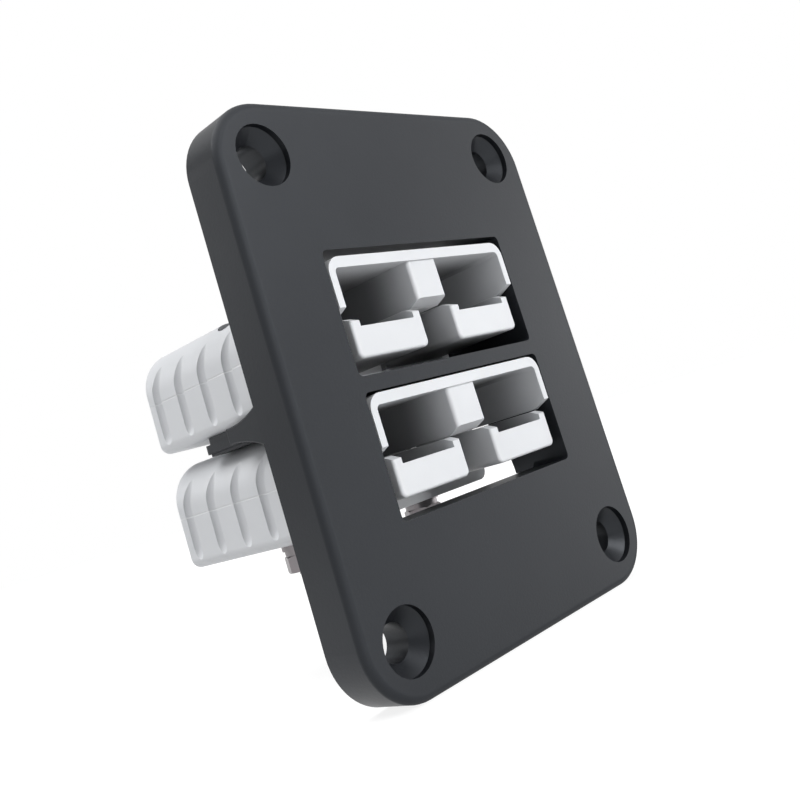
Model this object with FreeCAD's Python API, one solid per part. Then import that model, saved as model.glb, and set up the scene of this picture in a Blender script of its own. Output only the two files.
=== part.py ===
import FreeCAD, Part
import math
import os

# Twin flush-mount power connector, in millimetres: a moulded plate that carries two
# genderless two-pole housings, one above and one below a shelf behind the plate.
# X is the plate's width, Z its height, and the front looks along -Y.
# The origin is the centre of the four fixing holes, on the plate's rear face.

# Plate, its fixing holes, and the shelf and side webs moulded with it
plate_w = 61.2
plate_h = 76.1
plate_t = 6.6
plate_corner_r = 8.6
plate_edge_r = 1.0
fix_pitch_x = 46.5
fix_pitch_z = 61.4
fix_hole_r = 2.4
fix_head_r = 4.2
fix_head_depth = 0.9
window_side_gap = 0.25
window_top_gap = 0.65
window_foot_gap = 0.3
window_corner_r = 0.8
shelf_t = 2.4
shelf_len = 30.0
shelf_corner_r = 1.2
shelf_drop = 0.3
land_t = 1.05
land_inset = 0.8
rail_t = 0.45
rail_w = 3.05
rail_inset = 0.3
rail_gap = 0.5
web_t = 1.7
web_base = 3.9
web_toe = 0.4
web_edge_r = 0.25

# Housing, measured from its own front and from its mid plane
housing_w = 36.5
housing_h = 15.85
housing_len = 48.4
hood_len = 18.0
shoulder_len = 4.0
hood_top_r = 2.2
rear_top_r = 6.3
body_bottom_r = 1.6
rear_edge_r = 1.2

# Mating end: hood and divider above the mid plane, two tongues below it
roof_t = 1.5
side_wall = 1.1
hood_inner_r = 0.7
divider_w = 6.0
divider_set = 0.28
divider_r = 0.6
mate_depth = 16.2
cavity_extra = 1.0
wall_foot = 0.05
lead_y = 2.5
lead_z = 1.1
tongue_set = 0.43
tongue_top = 0.08
tongue_side_gap = 0.35
tongue_roof_gap = 0.75
tongue_corner_r = 0.85
tongue_rim_r = 0.42
ear_w = 1.6
ear_lead_y = 1.6
ear_lead_z = 0.6
notch_depth = 1.4
lip_t = 1.7
pocket_floor = 3.6

# Contact channel: a round bore for the barrel, then a squarer chamber with the spring's seat
channel_x = 7.5
channel_r = 3.3
mouth_lead = 0.9
chamber_w = 6.0
chamber_top = 2.6
chamber_foot = 2.8
chamber_r = 0.8
seat_end = 30.5
seat_floor = 4.4
seat_gap = 0.2

# Leaf springs
spring_w = 4.6
spring_t = 0.3
spring_foot = 6.0
spring_crest_y = 12.5
spring_crest = 1.75
spring_nose = 3.1
spring_nose_gap = 1.0

# Finger grooves down the sides
groove_count = 4
groove_pitch = 6.43
groove_first = 25.63
groove_cut_r = 1.1
groove_depth = 0.75
groove_top_extra = 5.0
groove_top_angle = 40.0
groove_lean_angle = 20.6
groove_lean_start = 1.0
groove_lean_r = 5.0
groove_foot = 3.6
groove_foot_r = 3.0
groove_foot_angle = 48.0

# Clamping screws through both housings and the shelf
screw_x = 13.0
screw_y = 27.0
screw_r = 1.5
screw_len = 35.0
screw_hole_gap = 0.15
screw_tip = 0.5
head_r = 2.75
head_h = 2.0
head_edge_r = 0.8
cross_w = 0.7
cross_len = 3.2
cross_depth = 1.1
head_recess = 2.05
head_side_gap = 0.15
washer_r = 3.0
washer_bore_gap = 0.1
head_washer_t = 0.5
flat_washer_t = 0.8
lock_washer_r = 2.7
lock_washer_t = 0.8
lock_split = 0.5
lock_slant = 20.0
nut_flats = 5.5
nut_h = 2.4
nut_chamfer = 0.35

# Places worked out from the sizes above
front_y = -plate_t
half_w = housing_w / 2
half_h = housing_h / 2
window_half = half_w + window_side_gap
window_top = shelf_t / 2 + housing_h + window_top_gap
shelf_top = shelf_t / 2 - shelf_drop
shelf_foot = shelf_top - shelf_t
upper_z = shelf_top + half_h
lower_z = shelf_foot - half_h
roof_z = half_h - roof_t
tongue_outer = half_w - side_wall - tongue_side_gap
tongue_inner = divider_w / 2 + tongue_side_gap
tongue_bottom = -(roof_z - tongue_roof_gap)
cavity_end = mate_depth + cavity_extra
lip_back = tongue_set + lip_t
counterbore_r = washer_r + head_side_gap
seat_z = half_h - head_recess - head_h - head_washer_t
hole_r = screw_r + screw_hole_gap
screw_row_y = front_y + screw_y
under_z = shelf_foot - housing_h


def vec(x, y, z):
    return FreeCAD.Vector(x, y, z)


def block(x0, x1, y0, y1, z0, z1):
    return Part.makeBox(x1 - x0, y1 - y0, z1 - z0, vec(x0, y0, z0))


def post(radius, height, x, y, z):
    """A round bar or hole that stands up from z."""
    return Part.makeCylinder(radius, height, vec(x, y, z), vec(0, 0, 1))


def rod(radius, length, x, y, z):
    """A round bar or hole that runs rearwards from y."""
    return Part.makeCylinder(radius, length, vec(x, y, z), vec(0, 1, 0))


def section(y, x0, x1, z0, z1, r_low, r_high):
    """A rectangle in the XZ plane with its own corner radius at the foot and at the top."""
    corners = (
        (x1, z0, r_low, -90),
        (x1, z1, r_high, 0),
        (x0, z1, r_high, 90),
        (x0, z0, r_low, 180),
    )
    edges = []
    last = None
    first = None
    for x, z, r, start in corners:
        cx = x - r if x == x1 else x + r
        cz = z - r if z == z1 else z + r
        ends = []
        for turn in (0, 45, 90):
            a = math.radians(start + turn)
            ends.append(vec(cx + r * math.cos(a), y, cz + r * math.sin(a)))
        if last is not None:
            edges.append(Part.makeLine(last, ends[0]))
        else:
            first = ends[0]
        edges.append(Part.Arc(*ends).toShape())
        last = ends[2]
    edges.append(Part.makeLine(last, first))
    return Part.Wire(edges)


def bar_y(y0, y1, x0, x1, z0, z1, r_low, r_high):
    """A section carried rearwards from y0 to y1."""
    face = Part.Face(section(y0, x0, x1, z0, z1, r_low, r_high))
    return face.extrude(vec(0, y1 - y0, 0))


def profile_x(points, x0, x1):
    """A straight-sided outline in the YZ plane carried from x0 to x1."""
    ring = [vec(x0, y, z) for y, z in points]
    face = Part.Face(Part.makePolygon(ring + ring[:1]))
    return face.extrude(vec(x1 - x0, 0, 0))


def mirror_x(shape):
    return shape.mirror(vec(0, 0, 0), vec(1, 0, 0))


def edges_at(shape, test):
    """The edges whose two ends both pass the test."""
    found = []
    for edge in shape.Edges:
        if len(edge.Vertexes) == 2 and all(test(v.Point) for v in edge.Vertexes):
            found.append(edge)
    return found


def near(a, b):
    return abs(a - b) < 1e-4


# Plate

def web():
    """One side web: full height at the plate, then two hollow quarter rounds to the shelf."""
    radius = window_top - shelf_t / 2
    toe_y = web_base + radius
    rear_y = toe_y + web_toe
    foot = shelf_t / 2
    edges = []
    for side in (1, -1):
        start = vec(0, 0, side * window_top)
        base = vec(0, web_base, side * window_top)
        bend = radius * (1 - math.sqrt(0.5))
        middle = vec(0, web_base + bend, side * (foot + bend))
        toe = vec(0, toe_y, side * foot)
        corner = vec(0, rear_y, side * foot)
        edges.append(Part.makeLine(start, base))
        edges.append(Part.Arc(base, middle, toe).toShape())
        edges.append(Part.makeLine(toe, corner))
    edges.append(Part.makeLine(vec(0, rear_y, foot), vec(0, rear_y, -foot)))
    edges.append(Part.makeLine(vec(0, 0, window_top), vec(0, 0, -window_top)))
    outline = Part.Wire(Part.__sortEdges__(edges))
    outline.translate(vec(window_half, 0, -shelf_drop))
    body = Part.Face(outline).extrude(vec(web_t, 0, 0))
    rim = edges_at(body, lambda p: near(p.x, window_half + web_t))
    rim = [edge for edge in rim if edge.BoundBox.YMax > web_base / 2]
    return body.makeFillet(web_edge_r, rim)


def fixing_hole(x, z):
    """A straight counterbore, a ninety degree cone and the clear hole behind it."""
    cone_len = fix_head_r - fix_hole_r
    cone_y = front_y + fix_head_depth
    bore = rod(fix_hole_r, plate_t, x, front_y, z)
    recess = rod(fix_head_r, fix_head_depth, x, front_y, z)
    cone = Part.makeCone(fix_head_r, fix_hole_r, cone_len, vec(x, cone_y, z), vec(0, 1, 0))
    return bore.fuse([recess, cone])


def mounting_plate():
    half_x = plate_w / 2
    half_z = plate_h / 2
    plate = bar_y(front_y, 0, -half_x, half_x, -half_z, half_z, plate_corner_r, plate_corner_r)
    rim = edges_at(plate, lambda p: near(p.y, front_y))
    plate = plate.makeFillet(plate_edge_r, rim)

    shelf = block(-half_w, half_w, 0, shelf_len, shelf_foot, shelf_top - land_t)
    ends = edges_at(shelf, lambda p: near(p.y, shelf_len) and near(abs(p.x), half_w))
    ends = [edge for edge in ends if near(edge.Length, shelf_t - land_t)]
    shelf = shelf.makeFillet(shelf_corner_r, ends)
    land_half = half_w - land_inset
    land = block(-land_half, land_half, 0, shelf_len, shelf_foot, shelf_top)
    ends = edges_at(land, lambda p: near(p.y, shelf_len) and near(abs(p.x), land_half))
    ends = [edge for edge in ends if near(edge.Length, shelf_t)]
    land = land.makeFillet(shelf_corner_r, ends)
    rear_y = web_base + window_top - shelf_t / 2 + web_toe
    root = block(-window_half, window_half, 0, rear_y, shelf_foot, shelf_top)
    rail_x = half_w - rail_inset
    rail_y = front_y + hood_len + shoulder_len + rail_gap
    rail_end = shelf_len - shelf_corner_r
    rail = block(rail_x - rail_w, rail_x, rail_y, rail_end, shelf_foot - rail_t, shelf_foot)

    plate = plate.fuse([shelf, land, root, rail, mirror_x(rail), web(), mirror_x(web())])
    r = window_corner_r
    for z0, z1 in ((-window_top, shelf_foot + window_foot_gap), (shelf_top, window_top)):
        plate = plate.cut(bar_y(front_y, 0, -window_half, window_half, z0, z1, r, r))
    for sx in (1, -1):
        plate = plate.cut(post(hole_r, shelf_t, sx * screw_x, screw_row_y, shelf_foot))
        for sz in (1, -1):
            plate = plate.cut(fixing_hole(sx * fix_pitch_x / 2, sz * fix_pitch_z / 2))
    return plate.removeSplitter()


# Housings

def outer_body():
    """The hood's block, a shoulder that rounds its top corners off, and the rear body."""
    shoulder_end = hood_len + shoulder_len
    low = body_bottom_r
    hood = bar_y(0, hood_len, -half_w, half_w, -half_h, half_h, low, hood_top_r)
    fore = section(hood_len, -half_w, half_w, -half_h, half_h, low, hood_top_r)
    aft = section(shoulder_end, -half_w, half_w, -half_h, half_h, low, rear_top_r)
    shoulder = Part.makeLoft([fore, aft], True, True)
    rear = bar_y(shoulder_end, housing_len, -half_w, half_w, -half_h, half_h, low, rear_top_r)
    rim = edges_at(rear, lambda p: near(p.y, housing_len))
    rear = rear.makeFillet(rear_edge_r, rim)
    return hood.fuse([shoulder, rear]).removeSplitter()


def divider():
    """The wall between the two cavities, a little behind the hood's front face."""
    half = divider_w / 2
    wall = block(-half, half, divider_set, cavity_end, wall_foot, roof_z)
    front = edges_at(wall, lambda p: near(p.y, divider_set))
    front = [edge for edge in front if near(edge.Length, roof_z - wall_foot)]
    return wall.makeFillet(divider_r, front)


def tongue():
    """The right-hand tongue with its notched lip, the pocket behind it and the spring's seat."""
    deep = cavity_end
    body = block(tongue_inner, tongue_outer, tongue_set, deep, tongue_bottom, -tongue_top)
    low = edges_at(body, lambda p: near(p.z, tongue_bottom) and p.y < deep + 1)
    low = [edge for edge in low if near(edge.Length, deep - tongue_set)]
    body = body.makeFillet(tongue_corner_r, low)
    rim = edges_at(body, lambda p: near(p.y, tongue_set))
    rim = [edge for edge in rim if edge.BoundBox.ZMin < -tongue_top - tongue_rim_r]
    body = body.makeFillet(tongue_rim_r, rim)

    lead = profile_x(
        (
            (0, -tongue_top),
            (0, -tongue_top - ear_lead_z * (1 + tongue_set / ear_lead_y)),
            (tongue_set + ear_lead_y, -tongue_top),
        ),
        tongue_inner,
        tongue_outer,
    )
    x0 = tongue_inner + ear_w
    x1 = tongue_outer - ear_w
    notch = block(x0, x1, 0, deep, -tongue_top - notch_depth, 0)
    pocket = block(x0, x1, lip_back, deep, -pocket_floor, 0)
    return body.cut([lead, notch, pocket])


def channel_cut():
    """The right-hand contact channel: bore, flared mouth, chamber and the spring's seat."""
    bore = rod(channel_r, housing_len - seat_end, channel_x, seat_end, 0)
    half = chamber_w / 2
    x0 = channel_x - half
    x1 = channel_x + half
    r = chamber_r
    chamber = bar_y(mate_depth, seat_end, x0, x1, -chamber_foot, chamber_top, r, r)
    mouth_y = housing_len - mouth_lead
    mouth = Part.makeCone(
        channel_r, channel_r + mouth_lead, mouth_lead, vec(channel_x, mouth_y, 0), vec(0, 1, 0)
    )
    half = spring_w / 2 + seat_gap
    seat = block(channel_x - half, channel_x + half, lip_back, seat_end, -seat_floor, 0)
    x0 = tongue_inner + ear_w
    x1 = tongue_outer - ear_w
    pocket = block(x0, x1, mate_depth, cavity_end, -pocket_floor, 0)
    return bore.fuse([chamber, mouth, seat, pocket])


def screw_cut(with_head):
    """The right-hand screw hole, opened out at the top where the screw's head goes in."""
    hole = post(hole_r, housing_h, screw_x, screw_y, -half_h)
    if not with_head:
        return hole
    return hole.fuse(post(counterbore_r, half_h - seat_z, screw_x, screw_y, seat_z))


def groove(y):
    """The pieces of a groove up the right side, which leans forward and fades at the top."""
    run_x = half_w + groove_cut_r - groove_depth
    foot_z = -half_h + groove_foot
    bend_z = half_h - rear_top_r - groove_lean_start
    top_r = rear_top_r + groove_top_extra
    lean = math.radians(groove_lean_angle)

    disc = Part.Face(Part.Wire(Part.makeCircle(groove_cut_r, vec(run_x, y, foot_z))))
    away = disc.revolve(vec(run_x + groove_foot_r, y, foot_z), vec(0, 1, 0), -groove_foot_angle)
    rise = disc.extrude(vec(0, 0, bend_z - foot_z))
    disc.translate(vec(0, 0, bend_z - foot_z))
    hinge = vec(run_x, y - groove_lean_r, bend_z)
    bend = disc.revolve(hinge, vec(1, 0, 0), groove_lean_angle)
    disc.rotate(hinge, vec(1, 0, 0), groove_lean_angle)
    centre = vec(
        run_x - top_r,
        y - groove_lean_r * (1 - math.cos(lean)),
        bend_z + groove_lean_r * math.sin(lean),
    )
    over = disc.revolve(centre, vec(0, -math.cos(lean), -math.sin(lean)), groove_top_angle)
    return [away, rise, bend, over]


def housing(with_head):
    """One housing with its front at y = 0 and its mid plane at z = 0."""
    body = outer_body()
    body = body.cut(block(-half_w, half_w, 0, mate_depth, -half_h, wall_foot))
    inner = half_w - side_wall
    r = hood_inner_r
    hollow = bar_y(0, cavity_end, -inner, inner, wall_foot - r, roof_z, r, r)
    hollow = hollow.cut(block(-inner, inner, 0, cavity_end, wall_foot - r, wall_foot))
    body = body.cut(hollow)
    body = body.fuse(divider())
    lead = profile_x(
        ((0, 0), (0, wall_foot + lead_z), (lead_y, wall_foot), (lead_y, 0)), -half_w, half_w
    )
    gap = block(-tongue_inner, tongue_inner, mate_depth, cavity_end, -roof_z, wall_foot)
    body = body.cut([lead, gap])
    cuts = []
    for cut in (channel_cut(), screw_cut(with_head)):
        cuts += [cut, mirror_x(cut)]
    body = body.fuse([tongue(), mirror_x(tongue())]).cut(cuts)
    for step in range(groove_count):
        for cut in groove(groove_first + step * groove_pitch):
            body = body.cut([cut, mirror_x(cut)])
    return body.removeSplitter()


def leaf_spring():
    """The right-hand leaf: a flat foot on the seat's floor and a bowed blade with a free nose."""
    foot_end = seat_end - seat_gap
    foot_start = foot_end - spring_foot
    nose_y = lip_back + spring_nose_gap
    low = -seat_floor
    top = low + spring_t

    def bow(rise):
        return Part.Arc(
            vec(0, foot_start, low + rise),
            vec(0, spring_crest_y, -spring_crest - spring_t + rise),
            vec(0, nose_y, -spring_nose - spring_t + rise),
        ).toShape()

    edges = [
        Part.makeLine(vec(0, foot_end, low), vec(0, foot_start, low)),
        bow(0),
        Part.makeLine(vec(0, nose_y, -spring_nose - spring_t), vec(0, nose_y, -spring_nose)),
        bow(spring_t),
        Part.makeLine(vec(0, foot_start, top), vec(0, foot_end, top)),
        Part.makeLine(vec(0, foot_end, top), vec(0, foot_end, low)),
    ]
    outline = Part.Wire(Part.__sortEdges__(edges))
    outline.translate(vec(channel_x - spring_w / 2, 0, 0))
    return Part.Face(outline).extrude(vec(spring_w, 0, 0))


# Fasteners, each on the axis x = 0, y = 0 and standing on z = 0 unless it says otherwise

def washer(radius, thickness):
    bore = post(screw_r + washer_bore_gap, thickness, 0, 0, 0)
    return post(radius, thickness, 0, 0, 0).cut(bore)


def lock_washer():
    """A split ring whose gap is cut on the slant."""
    ring = washer(lock_washer_r, lock_washer_t)
    half = lock_split / 2
    split = block(-half, half, 0, lock_washer_r, -lock_washer_t, 2 * lock_washer_t)
    split.rotate(vec(0, 0, lock_washer_t / 2), vec(0, 1, 0), lock_slant)
    return ring.cut(split)


def nut():
    corner_r = nut_flats / math.sqrt(3)
    ring = []
    for k in range(7):
        a = math.radians(60 * k)
        ring.append(vec(corner_r * math.cos(a), corner_r * math.sin(a), 0))
    body = Part.Face(Part.makePolygon(ring)).extrude(vec(0, 0, nut_h))
    low = Part.makeCone(corner_r - nut_chamfer, corner_r, nut_chamfer / 2)
    waist = post(corner_r, nut_h - nut_chamfer, 0, 0, nut_chamfer / 2)
    cap = Part.makeCone(corner_r, corner_r - nut_chamfer, nut_chamfer / 2)
    cap.translate(vec(0, 0, nut_h - nut_chamfer / 2))
    body = body.common(low.fuse([waist, cap]))
    return body.cut(post(screw_r, nut_h, 0, 0, 0))


def screw():
    """A pan-head screw whose head stands on z = 0, with the shank below."""
    head = post(head_r, head_h, 0, 0, 0)
    rim = [edge for edge in head.Edges if near(edge.BoundBox.ZMin, head_h)]
    head = head.makeFillet(head_edge_r, rim)
    shank = post(screw_r, screw_len - screw_tip, 0, 0, screw_tip - screw_len)
    tip = Part.makeCone(screw_r - screw_tip, screw_r, screw_tip, vec(0, 0, -screw_len))
    body = head.fuse([shank, tip])
    half = cross_len / 2
    thin = cross_w / 2
    for x, y in ((half, thin), (thin, half)):
        body = body.cut(block(-x, x, -y, y, head_h - cross_depth, head_h))
    return body.removeSplitter()


def put(shape, x, y, z):
    placed = shape.copy()
    placed.translate(vec(x, y, z))
    return placed


def build():
    parts = {"mounting_plate": mounting_plate()}
    one_spring = leaf_spring()
    for level, z in (("upper", upper_z), ("lower", lower_z)):
        parts["housing_" + level] = put(housing(level == "upper"), 0, front_y, z)
        parts["spring_" + level + "_right"] = put(one_spring, 0, front_y, z)
        parts["spring_" + level + "_left"] = put(mirror_x(one_spring), 0, front_y, z)

    head_z = upper_z + seat_z
    for side, x in (("left", -screw_x), ("right", screw_x)):
        y = screw_row_y
        z = head_z
        parts["head_washer_" + side] = put(washer(washer_r, head_washer_t), x, y, z)
        parts["screw_" + side] = put(screw(), x, y, z + head_washer_t)
        z = under_z - flat_washer_t
        parts["flat_washer_" + side] = put(washer(washer_r, flat_washer_t), x, y, z)
        z -= lock_washer_t
        parts["lock_washer_" + side] = put(lock_washer(), x, y, z)
        z -= nut_h
        parts["nut_" + side] = put(nut(), x, y, z)
    return parts


os.makedirs("parts", exist_ok=True)
for name, shape in build().items():
    if len(shape.Solids) == 1:
        shape = shape.Solids[0]
    shape.exportStep(os.path.join("parts", name + ".step"))
    print(name, "solids", len(shape.Solids), "valid", shape.isValid(), "volume", round(shape.Volume, 1))
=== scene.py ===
import math

import bpy
from mathutils import Matrix, Vector


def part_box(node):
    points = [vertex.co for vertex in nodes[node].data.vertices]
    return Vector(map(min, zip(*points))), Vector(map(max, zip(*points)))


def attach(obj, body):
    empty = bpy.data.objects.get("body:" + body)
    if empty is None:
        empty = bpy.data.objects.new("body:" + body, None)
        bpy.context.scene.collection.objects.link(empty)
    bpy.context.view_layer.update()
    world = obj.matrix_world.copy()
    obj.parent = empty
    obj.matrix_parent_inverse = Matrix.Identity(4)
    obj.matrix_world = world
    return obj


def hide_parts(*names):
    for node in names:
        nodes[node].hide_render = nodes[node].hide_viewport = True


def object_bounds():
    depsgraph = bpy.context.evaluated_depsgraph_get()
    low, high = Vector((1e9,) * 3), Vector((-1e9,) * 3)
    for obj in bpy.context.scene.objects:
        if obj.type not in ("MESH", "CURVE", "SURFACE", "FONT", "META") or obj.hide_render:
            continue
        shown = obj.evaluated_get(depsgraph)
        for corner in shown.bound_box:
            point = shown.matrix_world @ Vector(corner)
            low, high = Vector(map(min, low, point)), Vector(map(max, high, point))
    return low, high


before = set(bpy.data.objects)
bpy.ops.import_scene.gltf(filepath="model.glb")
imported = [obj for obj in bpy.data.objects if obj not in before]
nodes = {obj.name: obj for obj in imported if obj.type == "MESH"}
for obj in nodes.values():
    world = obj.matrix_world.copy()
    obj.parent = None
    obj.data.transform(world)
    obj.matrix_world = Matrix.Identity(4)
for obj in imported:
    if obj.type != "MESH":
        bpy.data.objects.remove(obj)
cad_box = [list(corner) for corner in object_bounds()]


# Mounting plate: one charcoal moulding with two windows, four countersunk holes, and the
# shelf and side webs behind it. It is glass-filled nylon from a spark-finished mould, which
# leaves a fine satin grain. Its rounded front rim is rubbed duller than the flat face.

class Amount:
    """A number that changes over a surface, written in sums like a plain number."""

    def __init__(self, network, socket):
        self.network = network
        self.socket = socket

    def worked(self, operation, first, second=0.0):
        made = self.network.node("ShaderNodeMath", {"operation": operation}, {0: first, 1: second})
        return Amount(self.network, made.outputs[0])

    def __add__(self, other):
        return self.worked("ADD", self, other)

    def __radd__(self, other):
        return self.worked("ADD", other, self)

    def __sub__(self, other):
        return self.worked("SUBTRACT", self, other)

    def __rsub__(self, other):
        return self.worked("SUBTRACT", other, self)

    def __mul__(self, other):
        return self.worked("MULTIPLY", self, other)

    def __rmul__(self, other):
        return self.worked("MULTIPLY", other, self)

    def __abs__(self):
        return self.worked("ABSOLUTE", self)

    def root(self):
        return self.worked("SQRT", self)

    def at_least(self, other):
        return self.worked("MAXIMUM", self, other)


class Network:
    """The nodes of one material or of the world, asked for one at a time."""

    def __init__(self, tree):
        self.tree = tree

    def feed(self, made, sockets):
        for key, value in sockets.items():
            if isinstance(key, str):
                wanted = key.replace("_", " ")
                socket = next(s for s in made.inputs if s.enabled and s.name == wanted)
            else:
                socket = made.inputs[key]
            if isinstance(value, Amount):
                value = value.socket
            if isinstance(value, bpy.types.NodeSocket):
                self.tree.links.new(value, socket)
            else:
                socket.default_value = value

    def node(self, kind, settings=None, sockets=None):
        made = self.tree.nodes.new(kind)
        for key, value in (settings or {}).items():
            setattr(made, key, value)
        self.feed(made, sockets or {})
        return made

    def ridge(self, low, high, value, bottom=0.0):
        """The bottom value below low, 1 above high, smooth between."""
        settings = {"interpolation_type": "SMOOTHSTEP"}
        sockets = {"Value": value, "From_Min": low, "From_Max": high, "To_Min": bottom}
        return Amount(self, self.node("ShaderNodeMapRange", settings, sockets).outputs["Result"])

    def under(self, low, high, value):
        """1 below low, 0 above high, smooth between."""
        return 1.0 - self.ridge(low, high, value)

    def rays(self, *kinds):
        """1 for rays of any of these kinds, 0 for the others."""
        path = self.node("ShaderNodeLightPath").outputs
        total = Amount(self, path["Is " + kinds[0] + " Ray"])
        for kind in kinds[1:]:
            total = total.at_least(path["Is " + kind + " Ray"])
        return total

    def choose(self, factor, first, second):
        """The first shader where the factor is 0, the second where it is 1."""
        mixed = self.node("ShaderNodeMixShader", None, {"Fac": factor, 1: first, 2: second})
        return mixed.outputs[0]


class Finish(Network):
    """One procedural material."""

    def __init__(self, name, **constants):
        self.material = bpy.data.materials.new(name)
        self.material.use_nodes = True
        super().__init__(self.material.node_tree)
        self.shader = self.tree.nodes["Principled BSDF"]
        self.feed(self.shader, constants)
        self.place = self.node("ShaderNodeTexCoord").outputs["Object"]

    def axes(self):
        """The place on the surface as three amounts, in metres."""
        split = self.node("ShaderNodeSeparateXYZ", None, {"Vector": self.place}).outputs
        return [Amount(self, split[axis]) for axis in "XYZ"]

    def cloud(self, scale, detail=2.0, roughness=0.5, place=None):
        """Soft noise from 0 to 1, with its scale in patches per metre."""
        sockets = {"Scale": scale, "Detail": detail, "Roughness": roughness}
        sockets["Vector"] = place or self.place
        return Amount(self, self.node("ShaderNodeTexNoise", None, sockets).outputs["Fac"])

    def blend(self, factor, first, second):
        sockets = {"Factor": factor, "A": first, "B": second}
        return self.node("ShaderNodeMix", {"data_type": "RGBA"}, sockets).outputs["Result"]

    def bump(self, height, distance, strength=1.0, below=None):
        sockets = {"Height": height, "Distance": distance, "Strength": strength}
        if below is not None:
            sockets["Normal"] = below
        return self.node("ShaderNodeBump", None, sockets).outputs["Normal"]

    def wear(self, **sockets):
        self.feed(self.shader, sockets)
        return self.material


def dress(names, material):
    """Gives each CAD node of the object this finish."""
    for name in names:
        for holder in nodes[name].material_slots:
            holder.material = material


corner_radius = 0.0086
rim_begins = (0.0073, 0.0078)
rim_ends_behind = (-0.006, -0.0054)
charcoal_dark = (0.006, 0.0068, 0.0088, 1.0)
charcoal_pale = (0.008, 0.009, 0.0112, 1.0)
charcoal_grain = (0.016, 0.017, 0.019, 1.0)

plate_finish = Finish("plate_satin_charcoal", IOR=1.43, Specular_Tint=(0.88, 0.93, 1.0, 1.0))
grain = plate_finish.cloud(2600.0, 3.0, 0.65)
flow = plate_finish.cloud(55.0, 2.0)
handled = plate_finish.cloud(210.0, 4.0, 0.6)
plate_colour = plate_finish.blend(plate_finish.ridge(0.3, 0.7, flow), charcoal_dark, charcoal_pale)
plate_colour = plate_finish.blend(grain * 0.35, plate_colour, charcoal_grain)
plate_x, plate_y, plate_z = plate_finish.axes()
plate_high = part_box("mounting_plate")[1]
past_x = (abs(plate_x) - (plate_high[0] - corner_radius)).at_least(0.0)
past_z = (abs(plate_z) - (plate_high[2] - corner_radius)).at_least(0.0)
outward = (past_x * past_x + past_z * past_z).root()
rim = plate_finish.ridge(*rim_begins, outward) * plate_finish.under(*rim_ends_behind, plate_y)
dress(["mounting_plate"], plate_finish.wear(
    Base_Color=plate_colour,
    Roughness=0.31 + 0.08 * handled + 0.06 * grain + 0.3 * rim,
    Normal=plate_finish.bump(grain, 0.00003, 0.5),
))


# Housings: two alike, light grey polycarbonate, each moulded in one shot with its hood,
# divider and tongues at the front. The mould's polish leaves a soft sheen and faint flow
# shades. The sockets carry painted shade, their colour darkened with depth where little light
# reaches them, and the seam of the mould's two halves is a fine ridge painted paler as a
# painted highlight.

mating_end = (0.0104, 0.011)
tongue_floor = (-0.0058, -0.0057)
hood_roof = (0.0066, 0.007)
tongue_reach = 0.0165
hood_overreach = 0.0006
wall_blur = 0.0001
channel_end = (0.038, 0.0395)
channel_rise = (0.0048, 0.005)
channel_reach = (0.0112, 0.0114)
# Painted shade: depths over which the sockets' colour darkens, front to back.
painted_shade_from_to = (-0.0066, 0.0035)
line_edge = (0.00007, 0.00016)
# Painted highlight: depths over which the seam's paler colour fades on the upper housing.
seam_highlight_fades = (0.018, 0.028)
grey_dark = (0.58, 0.592, 0.612, 1.0)
grey_pale = (0.61, 0.622, 0.642, 1.0)
# Painted shade: the dark grey painted deep in the sockets and channels.
grey_painted_shade = (0.19, 0.193, 0.2, 1.0)
# Painted highlight: the paler grey painted along the mould's seam.
grey_painted_highlight = (0.8, 0.81, 0.825, 1.0)


def housing_grey_with_painted_light(level):
    """The grey of one housing, with painted shade darkening its sockets towards the back, and the
    fine ridge that its mould's two halves leave on it, painted paler as a painted highlight.
    """
    low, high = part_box("housing_" + level)
    finish = Finish("housing_grey_painted_light_" + level, IOR=1.55)
    skin = finish.cloud(3200.0, 2.0)
    shade = finish.cloud(90.0, 3.0)
    across, back, height = finish.axes()
    sideways = abs(across)
    rise = height - (low[2] + high[2]) / 2
    # The mould's seam at mid-height: a fine ridge in the bump, and a painted highlight in the
    # colour.
    seam_and_highlight = finish.ridge(*line_edge, abs(rise))
    # Painted highlight on the seam: strong at the front of the upper housing and fading back,
    # weaker all over on the lower one.
    seam_highlight_fade = 0.75 - 0.5 * finish.ridge(*seam_highlight_fades, back) if level == "upper" else 0.4
    wall = hood_overreach * finish.ridge(-wall_blur, 0.0, rise) + tongue_reach
    mating = finish.under(*mating_end, back) * finish.under(0.0, wall_blur, sideways - wall)
    mating = mating * finish.ridge(*tongue_floor, rise) * finish.under(*hood_roof, rise)
    channel = finish.under(*channel_end, back) * finish.under(*channel_rise, abs(rise))
    channel = channel * finish.under(*channel_reach, sideways)
    # Painted shade: sockets and channels darken in colour towards the back.
    inside = finish.ridge(*painted_shade_from_to, back) * mating.at_least(channel)
    colour = finish.blend(finish.ridge(0.25, 0.75, shade), grey_dark, grey_pale)
    colour = finish.blend(inside, colour, grey_painted_shade)
    # Painted highlight: the seam is painted paler than the grey around it.
    colour = finish.blend((1.0 - seam_and_highlight) * seam_highlight_fade, colour, grey_painted_highlight)
    return finish.wear(
        Base_Color=colour,
        Roughness=0.34 + 0.1 * shade + 0.05 * skin,
        Normal=finish.bump(skin, 0.000012, 0.4, finish.bump(seam_and_highlight, 0.00008, 0.8)),
    )


for level in ("upper", "lower"):
    dress(["housing_" + level], housing_grey_with_painted_light(level))


# Leaf springs: four strips of bright stainless, rolled along their length, one lying in the
# floor of each channel. The contact's tongue snaps over the bow and is pressed against its mate.

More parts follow.
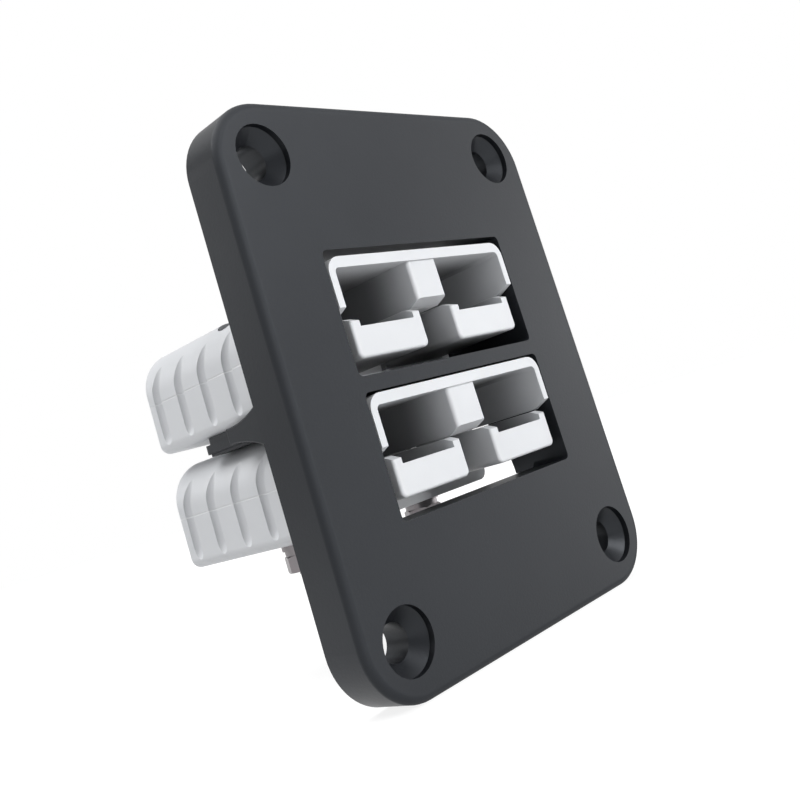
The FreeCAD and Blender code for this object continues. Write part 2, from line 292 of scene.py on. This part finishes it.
spring_finish = Finish("spring_stainless", Metallic=1.0)
roll = spring_finish.node("ShaderNodeMapping", None, {
    "Vector": spring_finish.place, "Scale": (1.0, 0.04, 1.0),
}).outputs["Vector"]
roll_lines = spring_finish.cloud(9000.0, 2.0, place=roll)
stainless = spring_finish.wear(
    Base_Color=spring_finish.blend(roll_lines, (0.55, 0.55, 0.54, 1.0), (0.68, 0.68, 0.67, 1.0)),
    Roughness=0.2 + 0.16 * roll_lines,
    Normal=spring_finish.bump(roll_lines, 0.000004, 0.6),
)
for level in ("upper", "lower"):
    dress(["spring_" + level + "_left", "spring_" + level + "_right"], stainless)


# Fasteners: zinc-plated steel screws, washers and nuts that clamp both housings to the shelf.
# The plating is bright with a soft milky bloom, and duller where a driver or spanner has been.

zinc_finish = Finish("fastener_zinc", Metallic=1.0)
bloom = zinc_finish.cloud(700.0, 4.0, 0.6)
speck = zinc_finish.cloud(5200.0, 2.0)
zinc = zinc_finish.wear(
    Base_Color=zinc_finish.blend(bloom, (0.19, 0.195, 0.2, 1.0), (0.28, 0.245, 0.255, 1.0)),
    Roughness=0.26 + 0.2 * bloom,
    Normal=zinc_finish.bump(speck, 0.000006, 0.5),
)
for kind in ("head_washer", "screw", "flat_washer", "lock_washer", "nut"):
    dress([kind + "_left", kind + "_right"], zinc)


# Clamping screws: two pan-head steel screws, 3 mm across and 35 mm long under the head, in the
# same plating. Each is cold-headed with a cross recess and rolled with a coarse thread over
# its whole length, and runs through a washer, both housings and the shelf into its nut.

thread_pitch = 0.0005
thread_crest = 0.00149
thread_root = 0.0012
steps_a_turn = 24
thread_weld = 0.000001
cut_threshold = 0.0000001
head_height = 0.002
head_rounding = 0.0008
recess_width = 0.0007
recess_length = 0.0032
recess_depth = 0.0011
recess_taper = 0.7
point_height = 0.0004
point_radius = 0.00095


def select_where(piece, kind, test):
    """Leaves the piece in edit mode with only those of its vertices or edges selected."""
    bpy.ops.object.mode_set(mode="OBJECT")
    mesh = piece.data
    for group in (mesh.vertices, mesh.edges, mesh.polygons):
        group.foreach_set("select", [False] * len(group))
    for corner in mesh.vertices:
        corner.select = kind == "VERT" and test(corner.co)
    for edge in mesh.edges:
        ends = [mesh.vertices[i].co for i in edge.vertices]
        edge.select = all(test(end) for end in ends)
    bpy.ops.object.mode_set(mode="EDIT")
    bpy.ops.mesh.select_mode(type=kind)


def settle(piece):
    """Moves the piece's place into its mesh, so that its origin is the world's."""
    bpy.ops.object.mode_set(mode="OBJECT")
    bpy.ops.object.select_all(action="DESELECT")
    piece.select_set(True)
    bpy.context.view_layer.objects.active = piece
    bpy.ops.object.transform_apply(location=True, rotation=True, scale=True)


def rolled_thread(x, y, low_z, high_z):
    """A closed rod with a thread, made from one flank pair wound round its axis."""
    turns = math.ceil((high_z - low_z) / thread_pitch) + 2
    bpy.ops.mesh.primitive_plane_add(size=thread_pitch, rotation=(math.pi / 2, 0.0, 0.0))
    thread = bpy.context.object
    settle(thread)
    select_where(thread, "VERT", lambda p: p.x > 0.0)
    bpy.ops.mesh.delete(type="VERT")
    select_where(thread, "VERT", lambda p: True)
    bpy.ops.mesh.subdivide(number_cuts=3)
    bpy.ops.transform.translate(value=(thread_root + thread_pitch / 2, 0.0, 0.0))
    rise = (thread_crest - thread_root) / 2
    for reach in (thread_pitch * 0.3, thread_pitch * 0.1):
        select_where(thread, "VERT", lambda p: abs(p.z) < reach)
        bpy.ops.transform.translate(value=(rise, 0.0, 0.0))
    bpy.ops.object.mode_set(mode="OBJECT")
    winding = thread.modifiers.new("winding", "SCREW")
    winding.screw_offset = thread_pitch
    winding.iterations = turns
    winding.steps = steps_a_turn
    winding.render_steps = steps_a_turn
    winding.use_merge_vertices = True
    winding.merge_threshold = thread_weld
    bpy.ops.object.modifier_apply(modifier="winding")
    select_where(thread, "VERT", lambda p: True)
    bpy.ops.mesh.remove_doubles(threshold=thread_weld)
    half_step = thread_pitch / steps_a_turn / 2
    bpy.ops.transform.translate(value=(x, y, low_z - thread_pitch - half_step))
    for z, above in ((low_z, False), (high_z, True)):
        bpy.ops.mesh.select_all(action="SELECT")
        bpy.ops.mesh.bisect(
            plane_co=(x, y, z), plane_no=(0.0, 0.0, 1.0), use_fill=True,
            clear_inner=not above, clear_outer=above, threshold=cut_threshold,
        )
    bpy.ops.mesh.select_all(action="SELECT")
    bpy.ops.mesh.normals_make_consistent(inside=False)
    bpy.ops.object.mode_set(mode="OBJECT")
    return thread


def pan_head(x, y, radius, low_z):
    """A round head with its rim rounded over and a tapered cross cut into the top."""
    top = low_z + head_height
    bpy.ops.mesh.primitive_cylinder_add(
        vertices=64, radius=radius, depth=head_height, location=(x, y, low_z + head_height / 2)
    )
    head = bpy.context.object
    settle(head)
    select_where(head, "EDGE", lambda p: p.z > top - head_height / 4)
    bpy.ops.mesh.bevel(offset=head_rounding, segments=7, affect="EDGES")
    for wide, long in ((recess_width, recess_length), (recess_length, recess_width)):
        bpy.ops.object.mode_set(mode="OBJECT")
        bpy.ops.mesh.primitive_cube_add(
            size=1.0, location=(x, y, top), scale=(wide, long, recess_depth * 2)
        )
        blade = bpy.context.object
        settle(blade)
        select_where(blade, "VERT", lambda p: p.z < top)
        bpy.ops.transform.resize(
            value=(recess_taper, recess_taper, 1.0), center_override=(x, y, top - recess_depth)
        )
        bpy.ops.object.mode_set(mode="OBJECT")
        cut = head.modifiers.new("cross", "BOOLEAN")
        cut.object = blade
        cut.operation = "DIFFERENCE"
        cut.solver = "EXACT"
        bpy.context.view_layer.objects.active = head
        bpy.ops.object.modifier_apply(modifier="cross")
        bpy.data.objects.remove(blade)
    return head


screw_low, screw_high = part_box("screw_left")
screw_x = (screw_low[0] + screw_high[0]) / 2
screw_y = (screw_low[1] + screw_high[1]) / 2
head_z = screw_high[2] - head_height
thread_low_z = screw_low[2] + point_height
bpy.ops.object.select_all(action="DESELECT")
screw_left = pan_head(screw_x, screw_y, (screw_high[0] - screw_low[0]) / 2, head_z)
thread = rolled_thread(screw_x, screw_y, thread_low_z, head_z + head_height / 8)
bpy.ops.mesh.primitive_cone_add(
    vertices=32, radius1=point_radius, radius2=thread_root * 0.98, depth=point_height * 2,
    location=(screw_x, screw_y, thread_low_z),
)
point = bpy.context.object
settle(point)
for part in (screw_left, thread, point):
    part.select_set(True)
bpy.context.view_layer.objects.active = screw_left
bpy.ops.object.join()
bpy.ops.object.shade_smooth_by_angle(angle=math.radians(30))
screw_left.data.materials.clear()
screw_left.data.materials.append(zinc)
screw_right = screw_left.copy()
screw_right.data = screw_left.data.copy()
bpy.context.scene.collection.objects.link(screw_right)
screw_right.location.x = -2 * screw_x
settle(screw_right)
for side, piece in (("left", screw_left), ("right", screw_right)):
    piece.name = "threaded_screw_" + side
    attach(piece, "root")
    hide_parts("screw_" + side)


# Studio: a white floor that keeps a faint shadow, a white surround that is paler on the
# right for reflections, and five soft lamps, of which those in front and on top do most.

pure_white = (1.0, 1.0, 1.0, 1.0)
pale_side = (0.83, -0.3, 0.25)
dim_side_level = 0.22
floor_glow = 0.84
glow_rises = (0.12, 0.5)

world = bpy.data.worlds.new("studio_air")
bpy.context.scene.world = world
world.use_nodes = True
air = Network(world.node_tree)
ambient = air.tree.nodes["Background"]
air.feed(ambient, {"Color": (0.96, 0.98, 1.0, 1.0), "Strength": 0.15})
looked = air.node("ShaderNodeTexCoord").outputs["Generated"]
toward = air.node("ShaderNodeVectorMath", {"operation": "DOT_PRODUCT"}, {0: looked, 1: pale_side})
mirrored = air.ridge(-0.5, 0.9, toward.outputs["Value"], dim_side_level)
white = air.node("ShaderNodeBackground", None, {
    "Color": pure_white, "Strength": mirrored.at_least(air.rays("Camera")),
})
surround = air.choose(
    air.rays("Camera", "Glossy", "Transmission"), ambient.outputs[0], white.outputs[0]
)
air.feed(air.tree.nodes["World Output"], {"Surface": surround})

bpy.ops.mesh.primitive_plane_add(size=4.0, location=(0.0, 0.0, cad_box[0][2]))
floor = bpy.context.object
floor.name = "studio_floor"
floor_finish = Finish("studio_floor_white", Base_Color=(0.2, 0.2, 0.2, 1.0), Roughness=0.9)
from_middle = floor_finish.node(
    "ShaderNodeVectorMath", {"operation": "LENGTH"}, {0: floor_finish.place}
)
away = floor_finish.ridge(*glow_rises, from_middle.outputs["Value"])
glow = floor_finish.node("ShaderNodeEmission", None, {
    "Color": pure_white, "Strength": floor_glow + (1.0 - floor_glow) * away,
})
lit = floor_finish.node("ShaderNodeAddShader", None, {
    0: glow.outputs[0], 1: floor_finish.shader.outputs[0],
})
pale = floor_finish.node("ShaderNodeBsdfDiffuse", None, {"Color": (0.6, 0.6, 0.6, 1.0)})
seen = floor_finish.choose(
    floor_finish.rays("Camera", "Glossy", "Transmission"), pale.outputs[0], lit.outputs[0]
)
clear = floor_finish.node("ShaderNodeBsdfTransparent").outputs[0]
from_below = floor_finish.node("ShaderNodeNewGeometry").outputs["Backfacing"]
floor_finish.feed(floor_finish.tree.nodes["Material Output"], {
    "Surface": floor_finish.choose(from_below, seen, clear),
})
floor.data.materials.append(floor_finish.material)

for name, place, width, power in (
    ("lamp_front", (0.04, -0.58, 0.3), 0.5, 4.5),
    ("lamp_right", (0.62, -0.1, 0.03), 0.35, 0.7),
    ("lamp_left", (-0.6, 0.0, 0.15), 0.6, 0.45),
    ("lamp_back_left", (-0.3, 0.55, 0.2), 0.35, 0.45),
    ("lamp_top", (-0.22, 0.12, 0.6), 0.6, 4.6),
):
    light = bpy.data.lights.new(name, "AREA")
    light.shape = "DISK"
    light.size = width
    light.energy = power
    holder = bpy.data.objects.new(name, light)
    holder.location = place
    holder.rotation_mode = "QUATERNION"
    holder.rotation_quaternion = (-Vector(place)).to_track_quat("-Z", "Y")
    bpy.context.scene.collection.objects.link(holder)


# Camera: a long lens, left of the object, a little below its middle and turned on its side.

camera_place = (-0.10369, -0.09359, -0.00939)
azimuth = math.radians(47.5013)
elevation = math.radians(-7.1781)
tilt = math.radians(-17.2717)

ahead = Vector((
    math.sin(azimuth) * math.cos(elevation),
    math.cos(azimuth) * math.cos(elevation),
    -math.sin(elevation),
))
across = Vector((math.cos(azimuth), -math.sin(azimuth), 0.0))
upright = across.cross(ahead)
right = math.cos(tilt) * across + math.sin(tilt) * upright
up = -math.sin(tilt) * across + math.cos(tilt) * upright
camera_data = bpy.data.cameras.new("camera")
camera_data.lens = 44.1
camera_data.sensor_width = 36.0
camera_data.shift_x = 0.0022
camera_data.shift_y = -0.0962
camera_data.clip_start = 0.01
camera_data.clip_end = 20.0
camera = bpy.data.objects.new("camera", camera_data)
bpy.context.scene.collection.objects.link(camera)
stand = Matrix((right, up, -ahead)).transposed().to_4x4()
stand.translation = Vector(camera_place)
camera.matrix_world = stand
bpy.context.scene.camera = camera
bpy.context.scene.view_settings.view_transform = "Standard"
